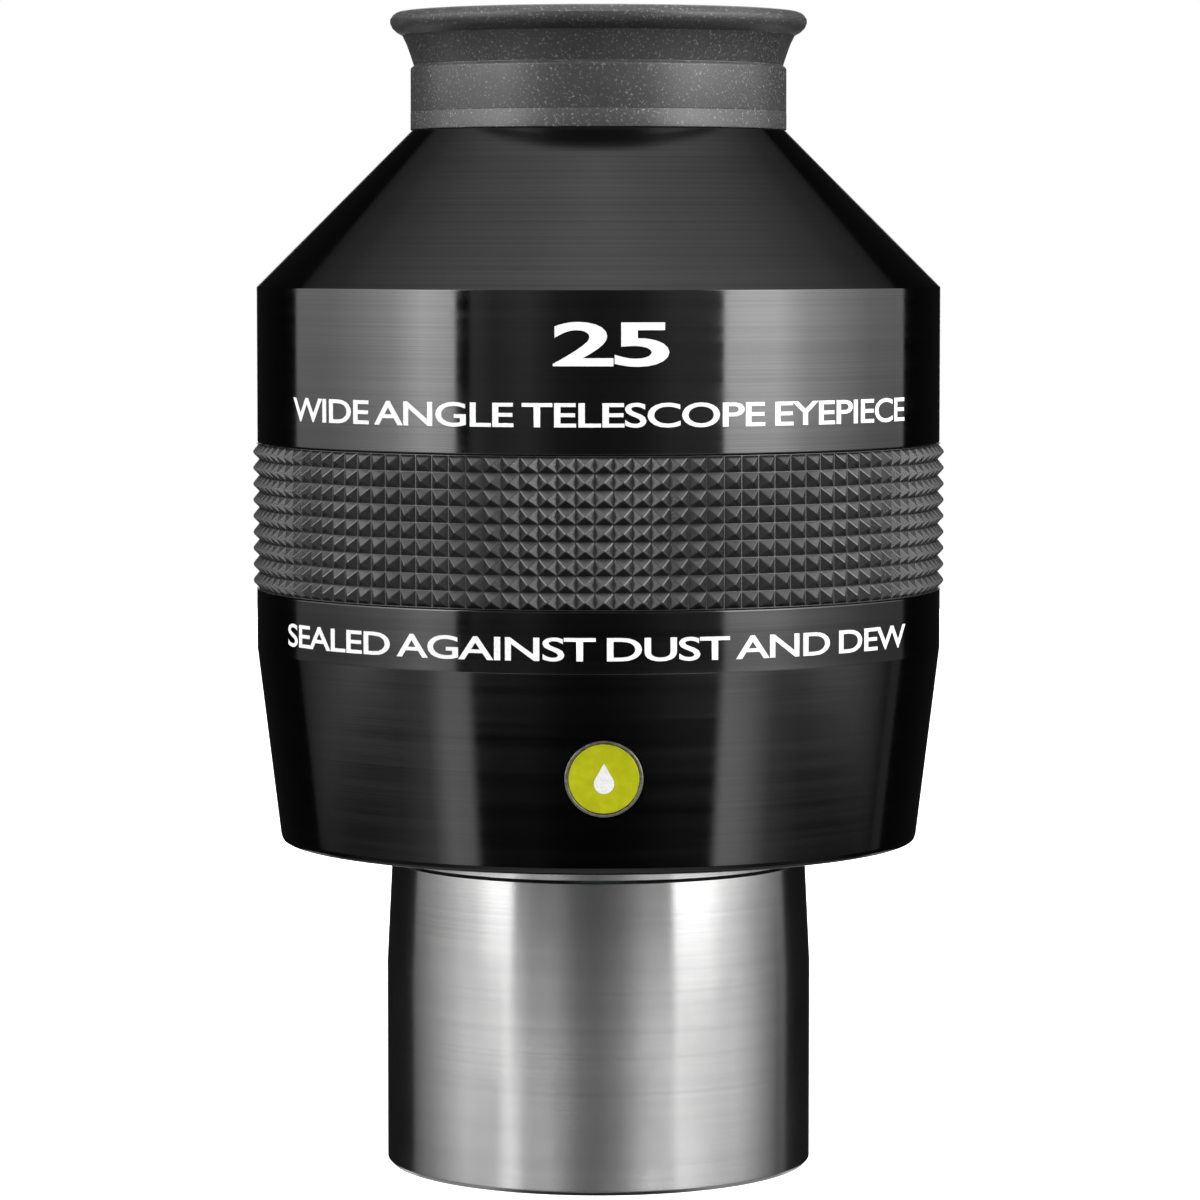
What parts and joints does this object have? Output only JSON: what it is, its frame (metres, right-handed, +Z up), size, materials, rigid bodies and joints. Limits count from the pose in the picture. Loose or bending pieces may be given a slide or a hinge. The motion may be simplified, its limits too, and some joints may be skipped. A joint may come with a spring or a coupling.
{
  "type": "telescope eyepiece",
  "caption": "Wide-field telescope eyepiece: bright push-fit barrel, tapered black housing with a studded rubber grip ring, conical shoulder and a fold-down rubber eyecup.",
  "frame": {"origin": "centre of the barrel's open end face, on the optical axis", "axes": "+Z up along the optical axis, from the barrel to the eyecup; -Y towards the purge port and the front of the engraving"},
  "size_m": [0.0826, 0.0826, 0.1373],
  "materials": {
    "black_anodised": "turned and black anodised, semi-gloss",
    "inner_black": "matte black",
    "barrel_steel": "brushed round its axis",
    "plug_metal": "worn satin rim",
    "grip_rubber": "moulded studs",
    "eyecup_rubber": "matte",
    "seal_rubber": "smooth",
    "label_plastic": "printed yellow-green",
    "optical_glass": "coated, faint green reflection"
  },
  "bodies": {
    "eyepiece": {"eyecup_flare": "eyecup_rubber", "eyecup_band": "eyecup_rubber", "eye_lens_retainer": "inner_black", "eye_lens_seal": "seal_rubber", "eye_lens": "optical_glass", "upper_housing": "black_anodised", "grip_ring": "grip_rubber", "main_cell": "inner_black", "doublet_retainer": "inner_black", "doublet_crown_lens": "optical_glass", "doublet_flint_lens": "optical_glass", "singlet_lens": "optical_glass", "singlet_retainer": "inner_black", "housing_seal": "seal_rubber", "lower_housing": "black_anodised", "purge_plug": "plug_metal", "purge_label": "label_plastic", "purge_seal": "seal_rubber", "field_stop": "inner_black", "barrel": "barrel_steel", "field_cell": "inner_black", "field_lens_upper": "optical_glass", "field_lens_lower": "optical_glass", "field_lens_seal": "seal_rubber", "field_lens_retainer": "inner_black"},
    "eyecup_rim": {"eyecup_lip": "eyecup_rubber"}
  },
  "joints": [
    {"name": "eyecup_fold", "type": "slide", "parent": "eyepiece", "child": "eyecup_rim", "axis": [0, 0, -1], "range_m": [0, 0.0102], "deforming": ["eyecup_flare"]}
  ]
}
